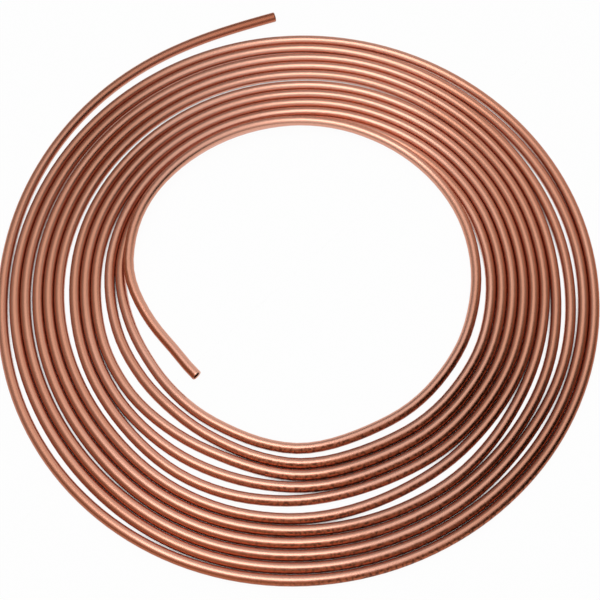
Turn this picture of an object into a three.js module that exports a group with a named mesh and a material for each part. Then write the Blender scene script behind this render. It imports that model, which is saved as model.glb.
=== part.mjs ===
// Copper tube coil: one length of soft-drawn 3/16 in line tube, wound flat in a single layer
// and sprung loose, lying on the floor with both cut ends free.
//
// Units are millimetres and +Z is up. The floor is z = 0, and the origin is the centre of the
// coil's box on the floor. Clock angles are degrees, seen from above: 0 is 12 o'clock (+Y), and
// they grow clockwise from the inner end to the outer end. Turn 0 is the short first piece at
// the inner end, so a point of turn n at clock angle c has the winding angle 360 * n + c.
import * as THREE from 'three';

// ---- the tube --------------------------------------------------------------------------------
const tubeOutside = 4.76; // outside diameter, 3/16 in
const tubeWall = 0.71; // 22 gauge wall
const outerSides = 8; // flats round the outside; one lies flat on the floor
const boreSides = 6; // flats round the bore
const stationsPerTurn = 36; // sections swept through in each turn

// ---- the winding -----------------------------------------------------------------------------
const innerEndTurn = 0;
const innerEndClock = 225;
const outerEndTurn = 11;
const outerEndClock = 355;
const turnClearance = 0.1; // between two turns that lie side by side
const outerTurnRadius = 131.75; // centre-line radius where the outermost full turn starts
const offCentre = { by: 0.93, towards: 20 }; // how far that turn lies off centre, and which way
const ovality = { by: 0.85, towards: 39 }; // half the difference of its long and short radius
const cornering = { by: 0.38, towards: -20 }; // how far it bulges in three places, one this way
const looseness = { by: 0.18, towards: 0 }; // more room between turns on this side and opposite

// ---- the free ends ---------------------------------------------------------------------------
// Each tail stands away from the winding, by this much once it has opened over so many degrees of
// its clock. The outer tip was never bent with the rest, so it kicks out further.
const innerTail = { clock: 52, opensOver: 44, opens: 7.45 };
const outerTail = { clock: 103, opensOver: 98, opens: 4.7 };
const outerTip = { clock: 33, kicksOut: 5.35, power: 3.65 };

// The first turn climbs on its neighbour and comes down again. The climb is the angle, seen along
// the tube, at which it stands on that neighbour: 0 is beside it and 90 is right on top.
const climb = { top: 67, from: 241, risesOver: 61, to: 477, fallsOver: 152 };

// Crescent gaps where a turn has sprung away from the turn inside it. Each runs between two clock
// angles of that turn, opens by so many millimetres at its middle, and closes at both tips. One
// with an ease holds its full width between two tips of that many degrees.
const gaps = [
  { turn: 11, from: -1, to: 87, opens: 1.1 },
  { turn: 11, from: 191, to: 280, opens: 1.9 },
  { turn: 10, from: 28, to: 123, opens: 1.45 },
  { turn: 10, from: 104, to: 150, opens: 0.9 },
  { turn: 9, from: 58, to: 133, opens: 1.65 },
  { turn: 9, from: 207, to: 380, opens: 0.6, ease: 25 },
  { turn: 8, from: 85, to: 145, opens: 1.4 },
  { turn: 7, from: 109, to: 184, opens: 2.3 },
  { turn: 6, from: 129, to: 218, opens: 2.7 },
  { turn: 6, from: 177, to: 413, opens: 1.3, ease: 45 },
  { turn: 6, from: 241, to: 291, opens: 0.75 },
  { turn: 5, from: 168, to: 238, opens: 2.25 },
  { turn: 4, from: 177, to: 236, opens: 2.4 },
  { turn: 4, from: 207, to: 254, opens: 0.75 },
  { turn: 3, from: 192, to: 279, opens: 3.25 },
  { turn: 3, from: 237, to: 310, opens: 1.0 },
  { turn: 2, from: 49, to: 195, opens: 3.1 },
  { turn: 2, from: 120, to: 254, opens: 1.3 },
  { turn: 2, from: 214, to: 277, opens: 1.8 },
];

// ---- worked out from the sizes above ---------------------------------------------------------
const innerEnd = 360 * innerEndTurn + innerEndClock;
const outerEnd = 360 * outerEndTurn + outerEndClock;
const lane = tubeOutside + turnClearance;
const cornerAngle = Math.PI / outerSides; // from the middle of a flat to its corner
const cornerReach = tubeOutside / Math.cos(cornerAngle) + turnClearance;
const bore = tubeOutside - 2 * tubeWall;
const stationAngle = 360 / stationsPerTurn;
const firstStation = Math.floor(innerEnd / stationAngle);
const stations = Math.ceil(outerEnd / stationAngle) - firstStation;

/** A smooth step from 0 to 1 as x goes from 0 to 1. */
function easeStep(x) {
  return 0.5 - 0.5 * Math.cos(Math.PI * THREE.MathUtils.clamp(x, 0, 1));
}

/** The room, past the turn clearance, that every turn has at this angle. */
function looseAt(angle) {
  const both = Math.cos(2 * THREE.MathUtils.degToRad(angle - looseness.towards));
  return (looseness.by * (1 + both)) / 2;
}

/** How far the turn at this winding angle stands off the turn inside it, past lying beside it. */
function gapAt(angle) {
  let sum = looseAt(angle);
  for (const gap of gaps) {
    const start = 360 * gap.turn + gap.from;
    const end = 360 * gap.turn + gap.to;
    const ease = gap.ease ?? (end - start) / 2;
    sum += gap.opens * easeStep((angle - start) / ease) * easeStep((end - angle) / ease);
  }
  return sum;
}

/** The angle, in radians, at which the first turn stands on its neighbour. */
function climbAt(angle) {
  const rise = easeStep((angle - climb.from) / climb.risesOver);
  const fall = easeStep((climb.to - angle) / climb.fallsOver);
  return THREE.MathUtils.degToRad(climb.top) * rise * fall;
}

/** Centre distance of two turns that touch, where one stands at this angle on the other. */
function reachAt(climbing) {
  return lane + (cornerReach - lane) * easeStep(climbing / cornerAngle);
}

/** Centre-line radius of the outermost full turn, a turn of a spiral a little out of round. */
function outerTurn(angle) {
  const spiral = ((lane + looseAt(outerEnd)) * (angle - (outerEnd - 360))) / 360;
  const shift = Math.cos(THREE.MathUtils.degToRad(angle - offCentre.towards));
  const oval = Math.cos(2 * THREE.MathUtils.degToRad(angle - ovality.towards));
  const corners = Math.cos(3 * THREE.MathUtils.degToRad(angle - cornering.towards));
  const outOfRound = offCentre.by * shift + ovality.by * oval + cornering.by * corners;
  return outerTurnRadius + spiral + outOfRound;
}

/** Centre-line radius of the wound turns: each lies inside the next one, or stands on it. */
function woundRadius(angle) {
  if (angle > outerEnd - 360) {
    return outerTurn(angle);
  }
  const climbing = climbAt(angle);
  const beside = reachAt(climbing) * Math.cos(climbing);
  return woundRadius(angle + 360) - beside - gapAt(angle + 360);
}

/** How far the free outer tail stands outside the wound line. */
function outerTailAt(angle) {
  const alongTail = angle - (outerEnd - outerTail.clock);
  const alongTip = Math.max(0, angle - (outerEnd - outerTip.clock));
  const kick = outerTip.kicksOut * (alongTip / outerTip.clock) ** outerTip.power;
  return outerTail.opens * easeStep(alongTail / outerTail.opensOver) + kick;
}

/** How far the free inner tail stands inside the wound line. */
function innerTailAt(angle) {
  const alongTail = innerEnd + innerTail.clock - angle;
  return innerTail.opens * easeStep(alongTail / innerTail.opensOver);
}

/** The centre-line of the whole tube, from its inner end to its outer end. */
class CoilLine extends THREE.Curve {
  constructor() {
    super();
    this.centre = new THREE.Vector2();
    const box = new THREE.Box2();
    for (let i = 0; i <= stations; i += 1) {
      const point = this.getPointAt(i / stations);
      box.expandByPoint(new THREE.Vector2(point.x, point.y));
    }
    box.getCenter(this.centre);
  }

  getPoint(t, target = new THREE.Vector3()) {
    const angle = innerEnd + (outerEnd - innerEnd) * t;
    const clock = THREE.MathUtils.degToRad(angle);
    const radius = woundRadius(angle) + outerTailAt(angle) - innerTailAt(angle);
    const climbing = climbAt(angle);
    const height = tubeOutside / 2 + reachAt(climbing) * Math.sin(climbing);
    return target.set(
      radius * Math.sin(clock) - this.centre.x,
      radius * Math.cos(clock) - this.centre.y,
      height,
    );
  }

  /** Stations lie at whole steps of the clock, so those of neighbouring turns stand in line. */
  getUtoTmapping(u) {
    const angle = (firstStation + u * stations) * stationAngle;
    return (THREE.MathUtils.clamp(angle, innerEnd, outerEnd) - innerEnd) / (outerEnd - innerEnd);
  }

  /** Sections stay upright, so that the bottom flat of every turn lies on the floor. */
  computeFrenetFrames(segments) {
    const up = new THREE.Vector3(0, 0, 1);
    const frames = { tangents: [], normals: [], binormals: [] };
    for (let i = 0; i <= segments; i += 1) {
      const tangent = this.getTangentAt(i / segments);
      const across = new THREE.Vector3().crossVectors(up, tangent).normalize();
      frames.tangents.push(tangent);
      frames.normals.push(across);
      frames.binormals.push(new THREE.Vector3().crossVectors(tangent, across).normalize());
    }
    return frames;
  }
}

/** Corners of a regular polygon drawn round a circle, with a flat at its top and bottom. */
function polygonRound(diameter, sides) {
  const reach = diameter / 2 / Math.cos(Math.PI / sides);
  const corners = [];
  for (let i = 0; i < sides; i += 1) {
    const turn = (2 * Math.PI * (i + 0.5)) / sides + Math.PI / 2;
    corners.push(new THREE.Vector2(reach * Math.cos(turn), reach * Math.sin(turn)));
  }
  return corners;
}

const section = new THREE.Shape(polygonRound(tubeOutside, outerSides));
section.holes.push(new THREE.Path(polygonRound(bore, boreSides)));

const copper = new THREE.MeshStandardMaterial({ color: 0xb87860, roughness: 0.3, metalness: 1.0 });

const tube = new THREE.Mesh(
  new THREE.ExtrudeGeometry(section, { steps: stations, extrudePath: new CoilLine() }),
  copper,
);
tube.name = 'copper_tube';

const coil = new THREE.Group();
coil.add(tube);

export default coil;
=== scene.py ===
"""Looks of a copper tube coil that lies on the floor.

The coil is one length of soft-drawn copper tube. It is made here as it is made in the works: a
straight hollow length is cut to size, its two mouths are rolled in a little by the tube cutter,
and it is then bent along the winding. Blender works in metres in the CAD model's frame. Sizes of
the tube and the winding are written in millimetres, and clock angles in degrees, seen from above:
0 is 12 o'clock (+Y) and they grow clockwise from the inner end to the outer end.
"""

import logging
import math
from bisect import bisect_left
from dataclasses import dataclass, field
from enum import Enum
from functools import lru_cache
from itertools import accumulate
from typing import Optional

import bmesh
import bpy
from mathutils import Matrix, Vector


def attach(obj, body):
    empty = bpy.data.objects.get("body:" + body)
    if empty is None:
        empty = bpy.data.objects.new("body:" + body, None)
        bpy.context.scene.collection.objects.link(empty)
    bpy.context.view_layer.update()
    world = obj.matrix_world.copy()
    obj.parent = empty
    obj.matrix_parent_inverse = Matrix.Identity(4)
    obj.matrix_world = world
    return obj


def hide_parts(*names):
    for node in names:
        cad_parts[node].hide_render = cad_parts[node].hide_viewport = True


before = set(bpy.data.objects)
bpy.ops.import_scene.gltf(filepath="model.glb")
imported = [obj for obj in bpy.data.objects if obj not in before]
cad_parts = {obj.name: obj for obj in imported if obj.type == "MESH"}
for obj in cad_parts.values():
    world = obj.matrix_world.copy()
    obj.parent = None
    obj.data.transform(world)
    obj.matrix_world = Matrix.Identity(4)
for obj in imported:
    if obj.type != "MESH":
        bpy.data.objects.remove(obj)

log = logging.getLogger("copper_coil")

Tree = bpy.types.NodeTree
Socket = bpy.types.NodeSocket

MM = 0.001
CAD_NODE = "copper_tube"
BODY = "root"


# ---- helpers ---------------------------------------------------------------------------------


def linear(code: str) -> tuple[float, float, float, float]:
    """Turns an sRGB hex colour into a linear one, by the sRGB standard's own curve.

    Args:
        code: the colour as "#rrggbb".

    Returns:
        Linear red, green, blue and an alpha of 1.
    """
    channels = [int(code[i : i + 2], 16) / 255 for i in (1, 3, 5)]
    made = [c / 12.92 if c <= 0.04045 else ((c + 0.055) / 1.055) ** 2.4 for c in channels]
    return (made[0], made[1], made[2], 1.0)


def ease_step(x: float) -> float:
    """A smooth step from 0 to 1 as x goes from 0 to 1."""
    return 0.5 - 0.5 * math.cos(math.pi * min(max(x, 0.0), 1.0))


def deselect_all() -> None:
    """Clears the selection, so that the next operator acts on its own object alone."""
    if bpy.context.object is not None and bpy.context.object.mode != "OBJECT":
        bpy.ops.object.mode_set(mode="OBJECT")
    bpy.ops.object.select_all(action="DESELECT")


def apply_modifier(piece: bpy.types.Object, kind: str, settings: dict) -> None:
    """Adds one modifier to a piece and applies it.

    Args:
        piece: the object, which is made the active one.
        kind: Blender's name for the modifier type.
        settings: the modifier's properties.
    """
    deselect_all()
    piece.select_set(True)
    bpy.context.view_layer.objects.active = piece
    modifier = piece.modifiers.new(kind.lower(), kind)
    for name, value in settings.items():
        setattr(modifier, name, value)
    bpy.ops.object.modifier_apply(modifier=modifier.name)


def add_node(
    tree: Tree,
    kind: str,
    settings: Optional[dict] = None,
    links: Optional[dict] = None,
) -> bpy.types.Node:
    """Adds one node to a tree with its settings and its links.

    Args:
        tree: the node tree.
        kind: Blender's name for the node type, without "ShaderNode".
        settings: properties of the node by name, or input values by socket name or number.
        links: output sockets by the input socket's name or number that they go to.

    Returns:
        The new node.
    """
    node = tree.nodes.new("ShaderNode" + kind)
    for name, value in (settings or {}).items():
        if isinstance(name, str) and hasattr(node, name):
            setattr(node, name, value)
        else:
            node.inputs[name].default_value = value
    for name, socket in (links or {}).items():
        tree.links.new(socket, node.inputs[name])
    return node


# ---- the winding -----------------------------------------------------------------------------


@dataclass(frozen=True)
class Crescent:
    """A gap where a turn has sprung away from the turn inside it.

    It runs between two clock angles of that turn, opens by so many millimetres at its middle and
    closes at both tips. One with an ease holds its full width between two tips of that many
    degrees.
    """

    turn: int
    starts: float
    ends: float
    opens: float
    ease: Optional[float] = None

    def width_at(self, angle: float) -> float:
        """Works out the gap's width.

        Args:
            angle: the winding angle.

        Returns:
            Millimetres, 0 outside the gap's two tips.
        """
        start = 360 * self.turn + self.starts
        end = 360 * self.turn + self.ends
        ease = self.ease or (end - start) / 2
        return self.opens * ease_step((angle - start) / ease) * ease_step((end - angle) / ease)


@dataclass(frozen=True)
class Winding:
    """The centre-line of the coil, the same line that the CAD model's tube follows.

    A winding angle is 360 times the turn plus the clock angle.
    """

    tube_outside: float = 4.76  # 3/16 in
    clearance: float = 0.1  # between two turns that lie side by side
    cad_sides: int = 8  # flats round the CAD model's tube, on whose corner a turn stands
    inner_end: float = 225.0
    outer_end: float = 360 * 11 + 355.0
    # The CAD model has 131.75. The tube here is truly round along its turns, and 0.02 less keeps
    # it inside the box of the CAD model, whose turns have 36 straight lengths each.
    outer_radius: float = 131.73
    # By how much the outermost turn is out of round, and towards which clock angle.
    off_centre: tuple[float, float] = (0.93, 20.0)
    ovality: tuple[float, float] = (0.85, 39.0)
    cornering: tuple[float, float] = (0.38, -20.0)
    looseness: tuple[float, float] = (0.18, 0.0)  # room between turns here and opposite
    # Degrees of clock that each tail takes, degrees over which it opens, and how far it opens.
    inner_tail: tuple[float, float, float] = (52.0, 44.0, 7.45)
    outer_tail: tuple[float, float, float] = (103.0, 98.0, 4.7)
    # Degrees of clock of the outer tip, how far it kicks out, and the power by which it does.
    outer_tip: tuple[float, float, float] = (33.0, 5.35, 3.65)
    # The angle at which the first turn stands on its neighbour: 0 is beside it, 90 on top.
    climb_top: float = 67.0
    climb_rise: tuple[float, float] = (241.0, 61.0)  # rises from, and over how many degrees
    climb_fall: tuple[float, float] = (477.0, 152.0)  # is down by, and over how many degrees
    crescents: tuple[Crescent, ...] = (
        Crescent(11, -1, 87, 1.1),
        Crescent(11, 191, 280, 1.9),
        Crescent(10, 28, 123, 1.45),
        Crescent(10, 104, 150, 0.9),
        Crescent(9, 58, 133, 1.65),
        Crescent(9, 207, 380, 0.6, 25),
        Crescent(8, 85, 145, 1.4),
        Crescent(7, 109, 184, 2.3),
        Crescent(6, 129, 218, 2.7),
        Crescent(6, 177, 413, 1.3, 45),
        Crescent(6, 241, 291, 0.75),
        Crescent(5, 168, 238, 2.25),
        Crescent(4, 177, 236, 2.4),
        Crescent(4, 207, 254, 0.75),
        Crescent(3, 192, 279, 3.25),
        Crescent(3, 237, 310, 1.0),
        Crescent(2, 49, 195, 3.1),
        Crescent(2, 120, 254, 1.3),
        Crescent(2, 214, 277, 1.8),
    )

    def climb_at(self, angle: float) -> float:
        """Works out how steeply the first turn stands on its neighbour.

        Args:
            angle: the winding angle.

        Returns:
            Radians, 0 where it lies beside its neighbour.
        """
        rise_from, rises_over = self.climb_rise
        falls_to, falls_over = self.climb_fall
        rise = ease_step((angle - rise_from) / rises_over)
        fall = ease_step((falls_to - angle) / falls_over)
        return math.radians(self.climb_top) * rise * fall

    def reach_at(self, climbing: float) -> float:
        """Works out the centre distance of two turns, one standing on the other.

        Args:
            climbing: radians at which it stands there.

        Returns:
            Millimetres.
        """
        lane = self.tube_outside + self.clearance
        corner_angle = math.pi / self.cad_sides
        corner_reach = self.tube_outside / math.cos(corner_angle) + self.clearance
        return lane + (corner_reach - lane) * ease_step(climbing / corner_angle)

    def loose_at(self, angle: float) -> float:
        """The room, past the clearance, that every turn has at this angle."""
        by, towards = self.looseness
        return by * (1 + math.cos(2 * math.radians(angle - towards))) / 2

    def outer_turn(self, angle: float) -> float:
        """Works out the outermost full turn, a spiral's turn a little out of round.

        Args:
            angle: the winding angle.

        Returns:
            The centre-line's radius in millimetres.
        """
        lane = self.tube_outside + self.clearance + self.loose_at(self.outer_end)
        spiral = lane * (angle - (self.outer_end - 360)) / 360
        shapes = enumerate((self.off_centre, self.ovality, self.cornering), start=1)
        out_of_round = sum(by * math.cos(n * math.radians(angle - to)) for n, (by, to) in shapes)
        return self.outer_radius + spiral + out_of_round

    @lru_cache(maxsize=None)
    def wound_radius(self, angle: float) -> float:
        """Works out the wound turns: each lies inside the next one, or stands on it.

        Args:
            angle: the winding angle.

        Returns:
            The centre-line's radius in millimetres.
        """
        if angle > self.outer_end - 360:
            return self.outer_turn(angle)
        climbing = self.climb_at(angle)
        beside = self.reach_at(climbing) * math.cos(climbing)
        gap = sum(crescent.width_at(angle + 360) for crescent in self.crescents)
        return self.wound_radius(angle + 360) - beside - self.loose_at(angle) - gap

    def tails_at(self, angle: float) -> float:
        """Works out how far the free tails stand off the wound line.

        Args:
            angle: the winding angle.

        Returns:
            Millimetres, outwards.
        """
        clock, opens_over, opens = self.outer_tail
        outer = opens * ease_step((angle - (self.outer_end - clock)) / opens_over)
        clock, kicks_out, power = self.outer_tip
        tip = kicks_out * (max(0.0, angle - (self.outer_end - clock)) / clock) ** power
        clock, opens_over, opens = self.inner_tail
        inner = opens * ease_step((self.inner_end + clock - angle) / opens_over)
        return outer + tip - inner

    def point(self, angle: float) -> Vector:
        """Works out one point of the centre-line, before the coil is centred.

        Args:
            angle: the winding angle.

        Returns:
            The point in millimetres.
        """
        radius = self.wound_radius(angle) + self.tails_at(angle)
        climbing = self.climb_at(angle)
        height = self.tube_outside / 2 + self.reach_at(climbing) * math.sin(climbing)
        clock = math.radians(angle)
        return Vector((radius * math.sin(clock), radius * math.cos(clock), height))

    def centre(self) -> Vector:
        """Finds the middle, in plan, of the box round the line.

        Returns:
            The middle in millimetres.
        """
        count = round(self.outer_end - self.inner_end)
        points = [self.point(self.inner_end + i) for i in range(count + 1)]
        low = Vector([min(p[axis] for p in points) for axis in (0, 1)])
        high = Vector([max(p[axis] for p in points) for axis in (0, 1)])
        return ((low + high) / 2).to_3d()

    def line(self, step: float) -> list[Vector]:
        """The whole centre-line.

        Args:
            step: degrees of the clock between two points.

        Returns:
            Points in metres in the CAD model's frame, from the inner end to the outer end.
        """
        centre = self.centre()
        count = round((self.outer_end - self.inner_end) / step)
        return [(self.point(self.inner_end + i * step) - centre) * MM for i in range(count + 1)]


# ---- the finish of the tube ------------------------------------------------------------------


@dataclass(frozen=True)
class Streaks:
    """A noise that is stretched along the tube, with the size of one blotch in millimetres."""

    along: float
    across: float
    detail: float
    roughness: float = 0.55

    def add(self, tree: Tree, straight: Socket) -> Socket:
        """Adds the noise to a material.

        Args:
            tree: the material's node tree.
            straight: the place on the straight length.

        Returns:
            The noise's value, about 0.3 to 0.7.
        """
        scale = (1 / (self.along * MM), 1 / (self.across * MM), 1 / (self.across * MM))
        place = add_node(tree, "Mapping", {"Scale": scale}, {"Vector": straight}).outputs["Vector"]
        return add_node(
            tree,
            "TexNoise",
            {"Scale": 1.0, "Detail": self.detail, "Roughness": self.roughness},
            {"Vector": place},
        ).outputs["Fac"]


@dataclass(frozen=True)
class DrawnCopper:
    """Soft copper line tube: cold drawn through a die, bright annealed, wound and handled.

    What that gives the eye is a clean metal that shows only what it reflects, tinted pink. The
    die leaves fine lines along the tube. They spread a highlight round the tube, so that each
    turn carries one soft ridge of light, which shallow dents make waver. Hands and air leave
    thin tarnish in long soft patches. A painted sheen makes the copper cleaner near 12 and 6
    o'clock, where the highlight lies, and more tarnished towards 3 and 9 o'clock. The outer side
    of each turn and of the inner tail is painted brown as painted shade, most of all on one side
    of the coil, and the last of the outer end is brown all round. Short dark scuffs lie where the
    coil was dragged.

    Places are millimetres in the CAD model's frame, and lengths millimetres from the inner end.
    """

    # bright copper, which the painted sheen shows more of near 12 and 6 o'clock, where the
    # highlight lies
    bright: str = "#dfa58f"
    tarnished: str = "#d09177"
    # the brown of the painted shade, also the colour of the outer end
    shade_and_tip_brown: str = "#ae6142"
    scuffed: str = "#6e3c28"
    tube_radius: float = 2.38

    # The polish of bright annealed tube. The lines spread its highlight across them, which is a
    # quarter turn from the way they run.
    roughness: float = 0.24
    line_spread: float = 0.85
    line_turn: float = 0.25

    # Real die lines are some hundredths of a millimetre wide and too fine to show, so they are
    # drawn 0.35 mm wide here. Dents from bending by hand are long and about 3 mm wide.
    lines: Streaks = Streaks(along=60.0, across=0.35, detail=3.0)
    line_depth: float = 0.012
    dents: Streaks = Streaks(along=70.0, across=3.0, detail=1.0)
    dent_depth: float = 0.3
    relief_strength: float = 0.5

    # Tarnish where fingers slid: patches 90 mm long and 2 mm wide. Painted sheen: there is less of
    # it near the coil's middle line, where the highlight lies, and more towards the two sides of
    # the coil, between the two distances given below from that line.
    patches: Streaks = Streaks(along=90.0, across=2.2, detail=4.0)
    patch_range: tuple[float, float] = (0.35, 0.65)
    sheen_band: tuple[float, float] = (30.0, 115.0)
    sheen_band_share: float = 0.35

    # Painted shade: the outer side of each turn is painted brown. How far out on the tube it
    # starts and is full, as shares of its radius, then the way in which it grows across the coil,
    # and from where to where.
    shade_side: tuple[float, float] = (0.05, 0.5)
    shade_towards: tuple[float, float] = (0.5, -0.87)
    shade_place: tuple[float, float] = (-80.0, 100.0)
    shade_least: float = 0.4
    # painted shade on the outer side of the inner tail
    tail_shade: tuple[float, float] = (60.0, 150.0)  # full up to here, and gone by there
    # the outer end turns brown all round
    tip_brown: tuple[float, float] = (7490.0, 7620.0)  # starts here, full by there, near the end
    tip_share: float = 0.85

    # Scuffs about 1.5 mm across, full within the first reach of their place, none past the other.
    flecks: Streaks = Streaks(along=1.4, across=1.6, detail=2.0)
    fleck_range: tuple[float, float] = (0.46, 0.6)
    scuff_place: tuple[float, float, float] = (45.0, -92.0, 0.0)
    scuff_reach: tuple[float, float] = (45.0, 95.0)

    def material(self) -> bpy.types.Material:
        """Builds the node material, which reads the tube's straight length and its run.

        Returns:
            The finished material.
        """
        made = bpy.data.materials.new("drawn_copper")
        made.use_nodes = True
        tree = made.node_tree
        tree.nodes.clear()
        straight = add_node(tree, "Attribute", {"attribute_name": "straight"}).outputs["Vector"]
        run = add_node(tree, "Attribute", {"attribute_name": "run"}).outputs["Vector"]
        place = add_node(tree, "TexCoord").outputs["Object"]
        shader = add_node(
            tree,
            "BsdfPrincipled",
            {"Metallic": 1.0, "Roughness": self.roughness, "Anisotropic": self.line_spread,
             "Anisotropic Rotation": self.line_turn},
            {"Base Color": self.colour(tree, straight, place),
             "Normal": self.relief(tree, straight), "Tangent": run},
        )
        add_node(tree, "OutputMaterial", None, {"Surface": shader.outputs["BSDF"]})
        return made

    def colour(self, tree: Tree, straight: Socket, place: Socket) -> Socket:
        """Adds the colour: bright copper, then tarnish with the painted sheen, the painted shade,
        the browned outer end and scuffs over it.

        Args:
            tree: the material's node tree.
            straight: the place on the straight length.
            place: the place in the coil.

        Returns:
            The colour.
        """
        top = add_node(
            tree,
            "Mix",
            {"data_type": "RGBA", 6: linear(self.bright), 7: linear(self.tarnished)},
            {0: self.tarnish_and_sheen(tree, straight, place)},
        ).outputs[2]
        outer_side = self.outer_side(tree, straight)
        shaded = add_node(
            tree,
            "Mix",
            {"data_type": "RGBA", 7: linear(self.shade_and_tip_brown)},
            {0: self.shade_and_tip(tree, straight, place, outer_side), 6: top},
        ).outputs[2]
        return add_node(
            tree,
            "Mix",
            {"data_type": "RGBA", 7: linear(self.scuffed)},
            {0: self.scuffs(tree, straight, place, outer_side), 6: shaded},
        ).outputs[2]

    def relief(self, tree: Tree, straight: Socket) -> Socket:
        """Adds the die lines and the dents.

        Args:
            tree: the material's node tree.
            straight: the place on the straight length.

        Returns:
            The surface's normal.
        """
        height = add_node(
            tree,
            "Math",
            {"operation": "MULTIPLY_ADD", 1: self.dent_depth / self.line_depth},
            {0: self.dents.add(tree, straight), 2: self.lines.add(tree, straight)},
        ).outputs["Value"]
        return add_node(
            tree,
            "Bump",
            {"Strength": self.relief_strength, "Distance": self.line_depth * MM},
            {"Height": height},
        ).outputs["Normal"]

    def tarnish_and_sheen(self, tree: Tree, straight: Socket, place: Socket) -> Socket:
        """Adds the share of tarnish in soft patches along the tube, with the painted sheen: less
        of it near the coil's middle line, where the highlight lies, and more towards its sides.

        Args:
            tree: the material's node tree.
            straight: the place on the straight length.
            place: the place in the coil.

        Returns:
            The share, 0 to 1.
        """
        # Painted sheen: the copper is painted cleaner near the coil's middle line, at 12 and 6
        # o'clock, where the highlight lies.
        across = add_node(tree, "SeparateXYZ", None, {"Vector": place}).outputs["X"]
        off = add_node(tree, "Math", {"operation": "ABSOLUTE"}, {0: across}).outputs["Value"]
        sheen_band = add_node(
            tree,
            "MapRange",
            {"interpolation_type": "SMOOTHSTEP", "From Min": self.sheen_band[0] * MM,
             "From Max": self.sheen_band[1] * MM, "To Min": -self.sheen_band_share / 2,
             "To Max": self.sheen_band_share / 2},
            {"Value": off},
        ).outputs["Result"]
        both = add_node(
            tree, "Math", {"operation": "ADD"}, {0: self.patches.add(tree, straight), 1: sheen_band}
        ).outputs["Value"]
        return add_node(
            tree,
            "MapRange",
            {"From Min": self.patch_range[0], "From Max": self.patch_range[1]},
            {"Value": both},
        ).outputs["Result"]

    def outer_side(self, tree: Tree, straight: Socket) -> Socket:
        """Adds the share by which a point lies on the outer side of its turn, which carries the
        painted shade and the scuffs.

        Args:
            tree: the material's node tree.
            straight: the place on the straight length, whose +Y is the outer side once bent.

        Returns:
            The share, 0 on top and inside and 1 outside.
        """
        outwards = add_node(tree, "SeparateXYZ", None, {"Vector": straight}).outputs["Y"]
        return add_node(
            tree,
            "MapRange",
            {"interpolation_type": "SMOOTHSTEP",
             "From Min": self.shade_side[0] * self.tube_radius * MM,
             "From Max": self.shade_side[1] * self.tube_radius * MM},
            {"Value": outwards},
        ).outputs["Result"]

    def shade_and_tip(self, tree: Tree, straight: Socket, place: Socket, outer_side: Socket) -> Socket:
        """Adds the share of brown: painted shade on the outer side of the turns and the inner
        tail, and the outer end browned all round.

        Args:
            tree: the material's node tree.
            straight: the place on the straight length.
            place: the place in the coil.
            outer_side: the share by which a point lies on the outer side.

        Returns:
            The share, 0 to 1.
        """
        # painted shade, strongest towards one side of the coil
        towards = add_node(
            tree,
            "VectorMath",
            {"operation": "DOT_PRODUCT", 1: (*self.shade_towards, 0.0)},
            {0: place},
        ).outputs["Value"]
        on_turns = add_node(
            tree,
            "MapRange",
            {"interpolation_type": "SMOOTHSTEP", "From Min": self.shade_place[0] * MM,
             "From Max": self.shade_place[1] * MM, "To Min": self.shade_least},
            {"Value": towards},
        ).outputs["Result"]
        from_end = add_node(tree, "SeparateXYZ", None, {"Vector": straight}).outputs["X"]
        on_tail = add_node(
            tree,
            "MapRange",
            {"interpolation_type": "SMOOTHSTEP", "From Min": self.tail_shade[0] * MM,
             "From Max": self.tail_shade[1] * MM, "To Min": 1.0, "To Max": 0.0},
            {"Value": from_end},
        ).outputs["Result"]
        most = add_node(
            tree, "Math", {"operation": "MAXIMUM"}, {0: on_turns, 1: on_tail}
        ).outputs["Value"]
        shaded = add_node(
            tree, "Math", {"operation": "MULTIPLY"}, {0: outer_side, 1: most}
        ).outputs["Value"]
        on_tip = add_node(
            tree,
            "MapRange",
            {"interpolation_type": "SMOOTHSTEP", "From Min": self.tip_brown[0] * MM,
             "From Max": self.tip_brown[1] * MM, "To Max": self.tip_share},
            {"Value": from_end},
        ).outputs["Result"]
        return add_node(
            tree, "Math", {"operation": "MAXIMUM"}, {0: shaded, 1: on_tip}
        ).outputs["Value"]

    def scuffs(self, tree: Tree, straight: Socket, place: Socket, outer_side: Socket) -> Socket:
        """Adds the share of scuffing: flecks on the outer side, round the place it was dragged on.

        Args:
            tree: the material's node tree.
            straight: the place on the straight length.
            place: the place in the coil.
            outer_side: the share by which a point lies on the outer side.

        Returns:
            The share, 0 to 1.
        """
        flecked = add_node(
            tree,
            "MapRange",
            {"From Min": self.fleck_range[0], "From Max": self.fleck_range[1]},
            {"Value": self.flecks.add(tree, straight)},
        ).outputs["Result"]
        away = add_node(
            tree,
            "VectorMath",
            {"operation": "DISTANCE", 1: [v * MM for v in self.scuff_place]},
            {0: place},
        ).outputs["Value"]
        near = add_node(
            tree,
            "MapRange",
            {"interpolation_type": "SMOOTHSTEP", "From Min": self.scuff_reach[0] * MM,
             "From Max": self.scuff_reach[1] * MM, "To Min": 1.0, "To Max": 0.0},
            {"Value": away},
        ).outputs["Result"]
        dragged = add_node(
            tree, "Math", {"operation": "MULTIPLY"}, {0: outer_side, 1: near}
        ).outputs["Value"]
        return add_node(
            tree, "Math", {"operation": "MULTIPLY"}, {0: flecked, 1: dragged}
        ).outputs["Value"]


# ---- the tube --------------------------------------------------------------------------------


class Mouth(Enum):
    """The two cut ends of the tube, by the side of its straight length on which they lie."""

    INNER = -1
    OUTER = 1


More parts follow.
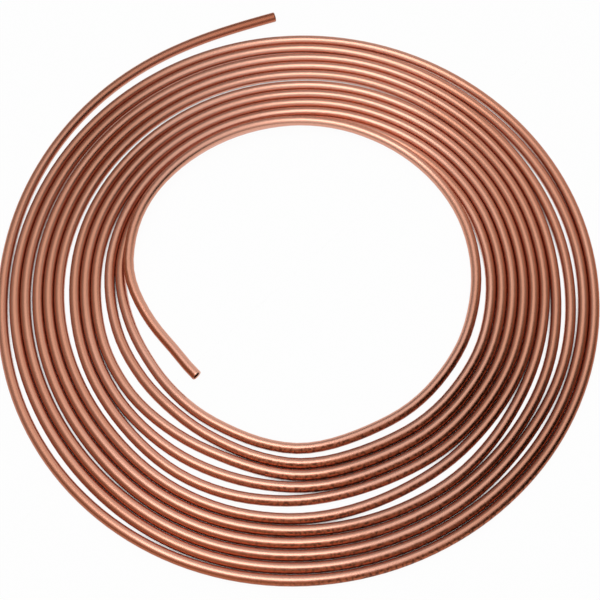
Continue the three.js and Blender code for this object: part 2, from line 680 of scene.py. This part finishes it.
@dataclass
class CopperTube:
    """The one piece: a hollow tube, cut to length and bent along the winding."""

    winding: Winding = field(default_factory=Winding)
    wall: float = 0.71  # 22 gauge
    sides: int = 28
    ring_spacing: float = 5.4  # between two rings of faces, in millimetres
    line_step: float = 1.0  # degrees of the clock between two points of the bent line
    lip_rings: int = 2  # rings of faces in a rolled mouth
    lip_length: float = 0.35  # of one such ring
    lip_rolls_in: float = 0.12
    merge_within: float = 0.0175
    smooth_under: float = 40.0

    def build(self) -> bpy.types.Object:
        """Makes the straight length and bends it.

        Returns:
            The finished tube, in the CAD model's place.
        """
        route = self.winding.line(self.line_step)
        length = sum((b - a).length for a, b in zip(route, route[1:]))
        tube = self.straight_length(length)
        self.keep_straight_place(tube)
        self.bend(tube, route)
        self.keep_run(tube, route)
        log.info("%s: %.3f m long, %d faces", tube.name, length, len(tube.data.polygons))
        return tube

    def straight_length(self, length: float) -> bpy.types.Object:
        """Models the tube before it is bent, along +X from the origin.

        Args:
            length: the tube's length in metres.

        Returns:
            The hollow tube with its two rolled mouths.
        """
        radius = self.winding.tube_outside / 2 * MM
        lip = self.lip_length * MM
        pieces = round(length / (self.ring_spacing * MM))
        first = self.lip_rings * lip
        step = (length - 2 * first) / pieces
        deselect_all()
        bpy.ops.mesh.primitive_cylinder_add(
            vertices=self.sides,
            radius=radius,
            depth=step,
            end_fill_type="NOTHING",
            location=(first + step / 2, 0, 0),
            rotation=(0, math.pi / 2, 0),
        )
        tube = bpy.context.object
        tube.name = "drawn_tube"
        bpy.ops.object.transform_apply(location=True, rotation=True, scale=True)
        repeat = {"count": pieces, "use_merge_vertices": True,
                  "merge_threshold": self.merge_within * MM}
        apply_modifier(tube, "ARRAY", repeat)
        bpy.ops.object.mode_set(mode="EDIT")
        for mouth in Mouth:
            self.roll_mouth(tube, mouth, length)
        bpy.ops.object.mode_set(mode="OBJECT")
        hollow = {"thickness": self.wall * MM, "offset": -1.0, "use_even_offset": True}
        apply_modifier(tube, "SOLIDIFY", hollow)
        return tube

    def roll_mouth(self, tube: bpy.types.Object, mouth: Mouth, length: float) -> None:
        """Rolls one cut end in, as a tube cutter's wheel leaves it.

        Args:
            tube: the tube, in edit mode.
            mouth: which end.
            length: the tube's length in metres.
        """
        lip = self.lip_length * MM
        first = self.lip_rings * lip
        place = first if mouth is Mouth.INNER else length - first
        end = 0.0 if mouth is Mouth.INNER else length
        bpy.ops.mesh.select_all(action="DESELECT")
        edit = bmesh.from_edit_mesh(tube.data)
        for edge in edit.edges:
            edge.select_set(all(abs(v.co.x - place) < lip / 2 for v in edge.verts))
        edit.select_flush_mode()
        bmesh.update_edit_mesh(tube.data)
        shrink = 1 - self.lip_rolls_in / (self.winding.tube_outside / 2)
        for _ in range(self.lip_rings):
            bpy.ops.mesh.extrude_region_move(
                TRANSFORM_OT_translate={"value": (mouth.value * lip, 0, 0)}
            )
        bpy.ops.transform.resize(value=(1, shrink, shrink), center_override=(end, 0, 0))

    def keep_straight_place(self, tube: bpy.types.Object) -> None:
        """Stores each point's place on the straight length, for patterns that follow the tube.

        Args:
            tube: the straight tube.
        """
        places = [0.0] * (3 * len(tube.data.vertices))
        tube.data.vertices.foreach_get("co", places)
        kept = tube.data.attributes.new("straight", "FLOAT_VECTOR", "POINT")
        kept.data.foreach_set("vector", places)

    def bend(self, tube: bpy.types.Object, route: list[Vector]) -> None:
        """Bends the straight length along the winding's line, with its top kept upwards.

        Args:
            tube: the straight tube.
            route: points of the centre-line in metres.
        """
        line = bpy.data.curves.new("winding_line", "CURVE")
        line.dimensions = "3D"
        line.twist_mode = "Z_UP"
        line.use_path = True
        line.use_stretch = True
        line.use_deform_bounds = True
        spline = line.splines.new("POLY")
        spline.points.add(len(route) - 1)
        spline.points.foreach_set("co", [value for p in route for value in (*p, 1.0)])
        former = bpy.data.objects.new("winding_line", line)
        bpy.context.scene.collection.objects.link(former)
        apply_modifier(tube, "CURVE", {"object": former, "deform_axis": "POS_X"})
        bpy.data.objects.remove(former)
        bpy.ops.object.shade_smooth_by_angle(angle=math.radians(self.smooth_under))

    def keep_run(self, tube: bpy.types.Object, route: list[Vector]) -> None:
        """Stores the direction in which the tube runs at each of its points.

        Args:
            tube: the bent tube, which has its straight places stored.
            route: points of the centre-line in metres.
        """
        steps = [b - a for a, b in zip(route, route[1:])]
        ends = list(accumulate(step.length for step in steps))
        places = tube.data.attributes["straight"].data
        run = tube.data.attributes.new("run", "FLOAT_VECTOR", "POINT")
        for place, direction in zip(places, run.data):
            at = min(bisect_left(ends, place.vector.x), len(steps) - 1)
            direction.vector = steps[at].normalized()

    def dress(self, tube: bpy.types.Object, finish: DrawnCopper) -> None:
        """Gives the tube its finish and its place in the frame.

        Args:
            tube: the bent tube.
            finish: the copper that it is made of.
        """
        tube.data.materials.clear()
        tube.data.materials.append(finish.material())
        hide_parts(CAD_NODE)
        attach(tube, BODY)


# ---- the studio ------------------------------------------------------------------------------


class LampShape(Enum):
    """The outline of a lamp's lit face."""

    SQUARE = "SQUARE"
    DISK = "DISK"


@dataclass(frozen=True)
class Lamp:
    """A flat lamp that looks straight down; place and side in millimetres, power in watts."""

    name: str
    shape: LampShape
    place: tuple[float, float, float]
    side: float
    power: float

    def hang(self) -> None:
        """Puts the lamp in the scene."""
        data = bpy.data.lights.new(self.name, "AREA")
        data.shape = self.shape.value
        data.size = self.side * MM
        data.energy = self.power
        lamp = bpy.data.objects.new(self.name, data)
        lamp.location = Vector(self.place) * MM
        bpy.context.scene.collection.objects.link(lamp)
        log.info("%s: %.2f W", self.name, self.power)


@dataclass(frozen=True)
class SoftWall:
    """A soft bright part of the room, by its clock angle, its height in degrees and strength."""

    clock: float
    height: float
    strength: float
    starts: float = 0.6  # cosine of the angle from its middle at which it has faded out

    def glow(self, tree: Tree) -> Socket:
        """Adds the wall's light to the world: full at its middle and fading all round.

        Args:
            tree: the world's node tree.

        Returns:
            The strength of the light in each direction.
        """
        clock, height = math.radians(self.clock), math.radians(self.height)
        middle = (math.sin(clock) * math.cos(height), math.cos(clock) * math.cos(height),
                  math.sin(height))
        direction = add_node(tree, "TexCoord").outputs["Generated"]
        towards = add_node(
            tree, "VectorMath", {"operation": "DOT_PRODUCT", 1: middle}, {0: direction}
        ).outputs["Value"]
        return add_node(
            tree,
            "MapRange",
            {"From Min": self.starts, "From Max": 1.0, "To Max": self.strength},
            {"Value": towards},
        ).outputs["Result"]


@dataclass(frozen=True)
class WhitePaper:
    """Uncoated white paper off a wide roll, pressed smooth, as studios lay on the floor.

    What that gives the eye is an even matt white that takes the coil's shadow. It glows to the
    camera and in what metal or glass shows of it, and casts no light of its own. In the narrow
    slots between two turns, shade is painted: the glow fades there and the paper is painted brown,
    as shade tinted by the copper. The share of short rays that leave a place freely says how open
    it is.
    """

    colour: str = "#fafafa"
    glow_colour: str = "#ffffff"
    glow: float = 0.96
    # painted shade: the brown of the slots between turns
    slot_shade_colour: str = "#7a5a4c"
    slot_depth: float = 8.0  # length of the rays that find a slot, in millimetres
    slot_open: tuple[float, float] = (0.06, 0.14)  # brown below this share, and white above that
    slot_rays: int = 24

    def material(self) -> bpy.types.Material:
        """Builds the node material.

        Returns:
            The finished material.
        """
        made = bpy.data.materials.new("white_paper")
        made.use_nodes = True
        tree = made.node_tree
        tree.nodes.clear()
        openness = add_node(
            tree,
            "AmbientOcclusion",
            {"samples": self.slot_rays, "Distance": self.slot_depth * MM},
        ).outputs["AO"]
        # painted shade: places that are less open turn brown and glow less
        lit = add_node(
            tree,
            "MapRange",
            {"From Min": self.slot_open[0], "From Max": self.slot_open[1]},
            {"Value": openness},
        ).outputs["Result"]
        matt = add_node(
            tree, "BsdfDiffuse", None, {"Color": self.slot_shaded(tree, self.colour, lit)}
        )
        glowing = add_node(
            tree, "Emission", None, {"Color": self.slot_shaded(tree, self.glow_colour, lit)}
        )
        mixed = add_node(
            tree,
            "MixShader",
            None,
            {0: self.glow_share(tree, lit), 1: matt.outputs["BSDF"],
             2: glowing.outputs["Emission"]},
        )
        add_node(tree, "OutputMaterial", None, {"Surface": mixed.outputs["Shader"]})
        return made

    def slot_shaded(self, tree: Tree, white: str, lit: Socket) -> Socket:
        """Adds a white that turns into the painted brown shade of the slots.

        Args:
            tree: the material's node tree.
            white: the white as "#rrggbb".
            lit: the share of light that reaches a place.

        Returns:
            The colour.
        """
        return add_node(
            tree,
            "Mix",
            {"data_type": "RGBA", 6: linear(self.slot_shade_colour), 7: linear(white)},
            {0: lit},
        ).outputs[2]

    def glow_share(self, tree: Tree, lit: Socket) -> Socket:
        """Adds the share of glow: only for the camera and for what metal or glass shows.

        Args:
            tree: the material's node tree.
            lit: the share of light that reaches a place.

        Returns:
            The share, 0 to 1.
        """
        rays = add_node(tree, "LightPath").outputs
        seen = rays["Is Camera Ray"]
        for ray in ("Is Glossy Ray", "Is Transmission Ray"):
            seen = add_node(
                tree, "Math", {"operation": "MAXIMUM"}, {0: seen, 1: rays[ray]}
            ).outputs["Value"]
        full = add_node(
            tree, "Math", {"operation": "MULTIPLY", 1: self.glow}, {0: seen}
        ).outputs["Value"]
        return add_node(
            tree, "Math", {"operation": "MULTIPLY"}, {0: full, 1: lit}
        ).outputs["Value"]


@dataclass
class Studio:
    """A pale floor, soft light and the camera that looks down on the coil.

    The camera's aim and distance are millimetres, and the floor and its backdrop are metres.
    """

    aim: tuple[float, float, float] = (0.8, -15.14, 0.0)
    distance: float = 491.4
    elevation: float = 67.0
    focal_length: float = 64.8
    sensor: float = 36.0
    nearest_seen: float = 10.0
    paper: WhitePaper = WhitePaper()
    floor_side: float = 16.0
    backdrop_sides: int = 64
    backdrop_height: float = 0.8
    lamps: tuple[Lamp, ...] = (
        Lamp("soft_box", LampShape.SQUARE, (-118.0, -33.0, 1042.0), 380.0, 1.1),
        Lamp("panel", LampShape.DISK, (0.0, 0.0, 520.0), 700.0, 1.0),
    )
    walls: tuple[SoftWall, ...] = (
        SoftWall(0.0, 40.0, 0.36),  # behind the coil
        SoftWall(180.0, 40.0, 0.65),  # behind the camera
        SoftWall(270.0, 40.0, 0.5),  # on the left
        SoftWall(45.0, 8.0, 0.75),  # low, at the back on the right
    )

    def build(self) -> None:
        """Makes the camera, the floor, the backdrop, the lamps and the world."""
        self.place_camera()
        self.lay_floor()
        for lamp in self.lamps:
            lamp.hang()
        self.light_world()

    def place_camera(self) -> None:
        """Puts the camera at its distance from the aim point, looking down at it."""
        tilt = math.radians(self.elevation)
        back = Vector((0, -math.cos(tilt), math.sin(tilt)))
        deselect_all()
        bpy.ops.object.camera_add(
            location=(Vector(self.aim) + back * self.distance) * MM,
            rotation=(math.pi / 2 - tilt, 0, 0),
        )
        camera = bpy.context.object
        camera.data.lens = self.focal_length
        camera.data.sensor_width = self.sensor
        camera.data.clip_start = self.nearest_seen * MM
        bpy.context.scene.camera = camera
        log.info("camera: %.1f mm from its aim, %.0f degrees up", self.distance, self.elevation)

    def lay_floor(self) -> None:
        """Lays the paper under the coil, with a low strip of it all round as a backdrop."""
        deselect_all()
        bpy.ops.mesh.primitive_plane_add(size=self.floor_side, location=(0, 0, 0))
        floor = bpy.context.object
        floor.name = "floor"
        bpy.ops.mesh.primitive_cylinder_add(
            vertices=self.backdrop_sides,
            radius=self.floor_side / 2,
            depth=self.backdrop_height,
            end_fill_type="NOTHING",
            location=(0, 0, self.backdrop_height / 2),
        )
        backdrop = bpy.context.object
        backdrop.name = "backdrop"
        paper = self.paper.material()
        for stage in (floor, backdrop):
            stage.data.materials.append(paper)
            log.info("%s: of white paper", stage.name)

    def light_world(self) -> None:
        """Lights the room round the coil from its soft walls."""
        world = bpy.data.worlds.new("studio")
        bpy.context.scene.world = world
        world.use_nodes = True
        tree = world.node_tree
        tree.nodes.clear()
        strength = self.walls[0].glow(tree)
        for wall in self.walls[1:]:
            strength = add_node(
                tree, "Math", {"operation": "ADD"}, {0: strength, 1: wall.glow(tree)}
            ).outputs["Value"]
        light = add_node(
            tree, "Background", {"Color": linear("#ffffff")}, {"Strength": strength}
        )
        add_node(tree, "OutputWorld", None, {"Surface": light.outputs["Background"]})
        log.info("room: %d soft walls", len(self.walls))


def main() -> None:
    """Builds the studio and the coil in the CAD model's frame, and reports each piece."""
    logging.basicConfig(level=logging.INFO, format="%(name)s: %(message)s")
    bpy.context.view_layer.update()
    bpy.context.scene.view_settings.view_transform = "Standard"
    Studio().build()
    coil = CopperTube()
    tube = coil.build()
    coil.dress(tube, DrawnCopper())
    log.info("%s: dressed in drawn copper, replaces %s", tube.name, CAD_NODE)


if __name__ == "__main__":
    main()
